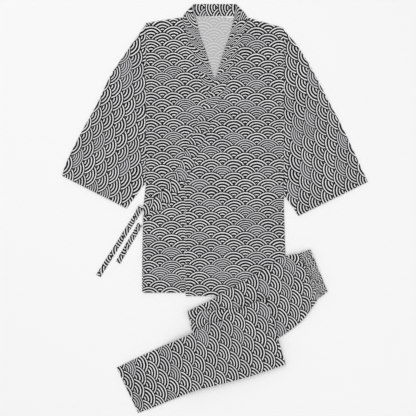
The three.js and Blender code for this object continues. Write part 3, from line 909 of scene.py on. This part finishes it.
def sleeve(side, name, node, angle, centre):
    """A wide sleeve lying flat. The upper wall stands off the lower one by a low arch, higher towards
    the cuff, with soft creases that fan out from the underarm."""
    fold = smooth_curve(SLEEVE_FOLDS[side], evenly(300))
    under = smooth_curve(SLEEVE_UNDERARMS[side], evenly(300))
    rail = length_of(fold)
    down = lines(rail, HALF)
    fold = resampled(fold, down)
    under = resampled(under, down / rail * length_of(under))
    widths = np.linalg.norm(under - fold, axis=1)
    over = across_lines(widths - 2 * HALF, 1.0, near=(2.0, 3.5, 5.0)) + HALF
    inwards = (under - fold) / widths[:, None]
    flat = fold[:, None] + inwards[:, None] * over[..., None]
    x, y = flat[..., 0], flat[..., 1]
    share = (down / rail)[:, None]
    body = np.abs(x) - (206.4 if side == LEFT else 207.4)
    arch = np.sin(np.pi * over / widths[:, None])
    puff = 1.6 * np.sin(np.pi * lerp(0.15, 0.75, share)) * arch
    fallen = creases(SLEEVE_CREASES[side], x, y) + ripple(x, y) * 1.5
    from_side = np.minimum(over - HALF, widths[:, None] - HALF - over).clip(0)
    free = rounded(from_side, 30.0) / 30.0
    joined = over_height(x, y) if side == LEFT else under_height(x, y)
    high = UNDER_LEVEL + puff + fallen * free
    high = lerp(joined, high, smoothstep(body, 0, 60)) + HALF
    low = np.full(x.shape, HALF)
    gap = (high - low) / 2
    reach = gap * np.sqrt(1 - (1 - np.clip(from_side / np.minimum(gap, 1.4), 0, 1)) ** 2)
    middle = np.dstack([x, y, (high + low) / 2])
    normal = np.broadcast_to(np.array([0.0, 0.0, 1.0]), middle.shape)
    hem = np.broadcast_to((rail - down)[:, None] - HEM, x.shape)
    seam_map = np.dstack([over, hem])
    front = turned_map(x, y, angle, centre)
    mirror = 2 * fold[:, None] - flat
    behind = turned_map(mirror[..., 0], mirror[..., 1], angle, centre)
    from_mouths = np.minimum(down, rail - down)
    ring, outward = tube_walls(middle, reach, normal)
    thick = np.broadcast_to(rounded(from_mouths, HALF)[:, None], ring.shape[:2])
    piece = make_cloth(
        name, node, ring, outward, thick, round_tube(front, behind),
        round_tube(seam_map, seam_map), BODY_COTTON,
    )


sleeve(RIGHT, "right_sleeve", "sleeve_right", -24.3, (-330, 150))
sleeve(LEFT, "left_sleeve", "sleeve_left", 205.5, (330, 140))


# ---------------------------------------------------------------- the folded trousers


def strip_stations(runs, turns, columns):
    """A strip's centre and normal through its runs. At a fold it follows half a circle from one
    run's level to the next one's, pushed outwards from the fold's line."""
    centres, normals, numbers = [], [], []
    for number, (out, inner, level, away) in enumerate(runs):
        facing = -1 if number % 2 == 0 else 1
        share = columns(out, inner)
        flat = out[:, None] + (inner - out)[:, None] * share[..., None]
        centre = np.dstack([flat, level(flat[..., 0], flat[..., 1])])
        centres.append(centre)
        normals.append(np.broadcast_to([0.0, 0.0, float(facing)], centre.shape))
        numbers.extend([number] * len(centre))
        if number + 1 < len(runs):
            last = centre[-1]
            high = runs[number + 1][2](last[:, 0], last[:, 1])
            angle = (np.pi * np.arange(1, turns) / turns)[:, None]
            radius = (high - last[:, 2]) / 2
            pushed = last[None, :, :2] + away * (radius * np.sin(angle))[..., None]
            risen = (high + last[:, 2]) / 2 - radius * np.cos(angle)
            centres.append(np.dstack([pushed, risen]))
            level_part = -facing * np.sin(angle)[..., None] * away
            normal = np.concatenate([level_part, facing * np.cos(angle)[..., None]], axis=2)
            normals.append(np.broadcast_to(normal, centres[-1].shape))
            numbers.extend([number] * (turns // 2) + [number + 1] * (turns - 1 - turns // 2))
    return np.concatenate(centres), np.concatenate(normals), np.array(numbers)


def away_from(out, inner, towards):
    """The unit direction square to a fold's line, on the side that the fold turns to."""
    line = np.subtract(inner, out)
    square = np.array([-line[1], line[0]]) / np.hypot(*line)
    return square * towards


WALL = 0.4  # half the thickness of one wall of a leg
LEG_EDGE = 4.0  # the turned edge of a leg, which keeps its size along the whole leg
LEG_STEP = 6.0
LEG_WIDEST = 220.0
TURNED = np.array([0, 0.134, 0.5, 1.0])  # steps round a turned rim, in its own radius


def run_middle(base, cover, level):
    """A run's middle surface: what lies under it, its own level there, and its creases."""

    def middle(x, y):
        return base(x, y) + level + trouser_swell(cover, x, y)

    return middle


def leg_columns(out, inner):
    """Shares of a leg's width: the turned edges keep their distances in mm."""
    widths = np.linalg.norm(inner - out, axis=1)[:, None]
    steps = int(round((LEG_WIDEST - 2 * WALL - 2 * LEG_EDGE) / LEG_STEP))
    inside = lerp(LEG_EDGE + WALL, widths - LEG_EDGE - WALL, evenly(steps)[None, 1:-1])
    near = np.array([0, 0.1, 0.37, 0.75, 1.4, 2.6, LEG_EDGE]) + WALL
    edge = np.broadcast_to(near, (len(widths), len(near)))
    return np.concatenate([edge, inside, widths - edge[:, ::-1]], axis=1) / widths


def leg(name, node, levels, hem):
    """One trouser leg through the three runs, a flattened tube that is open at its hem."""
    third_out, third_inner = list(THIRD_OUT), list(THIRD_INNER)
    if hem:
        third_out[-1], third_inner[-1] = hem
    tables = [(FIRST_OUT, FIRST_INNER), (SECOND_OUT, SECOND_INNER), (third_out, third_inner)]
    bases = [first_base, second_base, third_base]
    covers = [[SECOND_OUTLINE, THIRD_OUTLINE], [THIRD_OUTLINE], []]
    aways = [
        away_from(FIRST_OUT[-1], FIRST_INNER[-1], -1),
        away_from(SECOND_OUT[-1], SECOND_INNER[-1], 1),
        None,
    ]
    runs = []
    for number, (out, inner) in enumerate(tables):
        rail = sum(length_of(smooth_curve(edge, evenly(100))) for edge in (out, inner)) / 2
        shares = evenly(int(rail / LEG_STEP))
        if number == 0:
            shares = np.concatenate([WALL / rail * TURNED, shares[1:]])
        if number == 2:
            shares = np.concatenate([shares[:-1], 1 - WALL / rail * TURNED[::-1]])
        middle = run_middle(bases[number], covers[number], levels[number])
        runs.append([smooth_curve(out, shares), smooth_curve(inner, shares), middle, aways[number]])

    centre, normal, numbers = strip_stations(runs, 14, leg_columns)
    width = np.linalg.norm(centre[:, -1] - centre[:, 0], axis=1)[:, None]
    over = np.linalg.norm(centre - centre[:, :1], axis=2)
    reach = rounded(np.minimum(over, width - over).clip(0), LEG / 2 - WALL)
    steps = np.linalg.norm(np.diff(centre.mean(axis=1), axis=0), axis=1)
    moved = np.concatenate([[0], np.cumsum(steps)])
    to_hem = moved[-1] - moved
    if levels[2] > LEG:
        opening = 0.55 * smoothstep(30 - to_hem, 0, 30)[:, None] * np.sin(np.pi * over / width)
        reach = reach + opening
        centre = centre + opening[..., None] * np.array([0, 0, 1])
    x, y = centre[..., 0], centre[..., 1]
    pulled, along = waist_share(x, y)
    squeeze = 1 + 0.5 * np.exp(-np.abs(pulled) / 26)
    corner_maps = []
    for number, angle in enumerate(RUN_ANGLES):
        grid = turned_map(x, y, angle, (40 * number, -300))
        if number == 0:
            grid = grid * np.dstack([squeeze, np.ones_like(squeeze)])
        mirrored = grid * np.array([-1, 1]) + np.array([31, 5])
        corner_maps.append(corners_of(round_tube(grid, mirrored)))
    chosen = np.stack(corner_maps)[numbers[1:], np.arange(len(numbers) - 1)]
    ring, outward = tube_walls(centre, reach, normal)
    thick = np.broadcast_to(rounded(np.minimum(moved, to_hem), WALL)[:, None], ring.shape[:2])
    seam = np.dstack([over, np.broadcast_to(to_hem[:, None] - HEM, over.shape)])
    piece = make_cloth(
        name, node, ring, outward, thick, chosen, round_tube(seam, seam),
        TROUSER_COTTON,
    )


BAND_ACROSS = 34.0


def waistband():
    """The elastic waistband: a flattened ring of double cotton, folded in half at the centre seam.
    Its outer face is gathered into uneven ridges across its width."""
    top_a, top_b = (np.array(row, float) for row in WAIST_TOP)
    low_a, low_b = (np.array(row, float) for row in WAIST_SEAM)
    shares = evenly(110)[:, None]
    out, inner = lerp(top_a, top_b, shares), lerp(low_a, low_b, shares)
    half = 0.5
    away = away_from(out[-1], inner[-1], 1)

    def lower(x, y):
        return first_base(x, y) + LOWER_SLAB

    def upper(x, y):
        return first_base(x, y) + UPPER_SLAB

    def share_of(out, inner):
        shares = lines(BAND_ACROSS, half, 2.5) / BAND_ACROSS
        return np.broadcast_to(shares, (len(out), len(shares)))

    runs = [[out, inner, lower, away], [out[::-1], inner[::-1], upper, None]]
    centre, normal, _ = strip_stations(runs, 10, share_of)
    steps = np.linalg.norm(np.diff(centre[:, 0], axis=0), axis=1)
    moved = np.concatenate([[0], np.cumsum(steps)])
    from_side = np.minimum(moved, moved[-1] - moved)
    reach = rounded(from_side, 0.55)[:, None] * np.ones(centre.shape[:2])
    width = np.linalg.norm(centre[:, -1] - centre[:, 0], axis=1)[:, None]
    over = np.linalg.norm(centre - centre[:, :1], axis=2)
    lines_away = np.minimum(np.abs(over - 4), np.abs(width - over - 4))
    ridge = gathers(moved)[:, None] * (1 - 0.6 * np.exp(-((lines_away / 1.6) ** 2)))
    fade = np.clip(from_side / 6, 0, 1)[:, None]
    shown = (normal[..., 2] > 0.5) * 1.0
    outer = centre + normal * (reach + ridge * fade * (0.1 + 1.5 * shown))[..., None]
    inner_face = centre - normal * reach[..., None]
    ring = np.concatenate([outer, inner_face[-2::-1]], axis=0)
    ring = np.transpose(ring, (1, 0, 2))
    outward = normals_of(ring, wrap=True)
    sample = len(moved) // 4
    turn = np.sign((outward[:, sample] * normal[sample, :]).sum(axis=1).mean())
    from_edge = np.minimum(over[0], width[0] - over[0])
    thick = np.broadcast_to(rounded(from_edge, half)[:, None], ring.shape[:2])
    x, y = ring[..., 0], ring[..., 1]
    flat = turned_map(x, y, 22, (0, -300))
    column = np.broadcast_to(np.concatenate([moved, moved[-2::-1]])[None], x.shape)
    shuffle = 7 * np.sin(column / 3.7) + 5 * np.sin(column / 1.9 + 2)
    print_map = np.dstack([flat[..., 0] * 1.7 + shuffle, flat[..., 1] * 1.15 + 0.6 * shuffle])
    rise = np.broadcast_to(over[0][:, None], x.shape)
    span = float(width[0, 0])
    seam_map = np.dstack([column, np.where(rise < span / 2, rise - 4, span - rise - 4)])
    piece = make_cloth(
        "gathered_waistband", "waistband", ring, outward * turn, thick, print_map,
        seam_map, TROUSER_COTTON,
    )


leg("right_leg", "leg_right", [LOWER_SLAB, UPPER_SLAB, LOWER_SLAB], LOWER_HEM)
leg("left_leg", "leg_left", [UPPER_SLAB, LOWER_SLAB, UPPER_SLAB], None)
waistband()
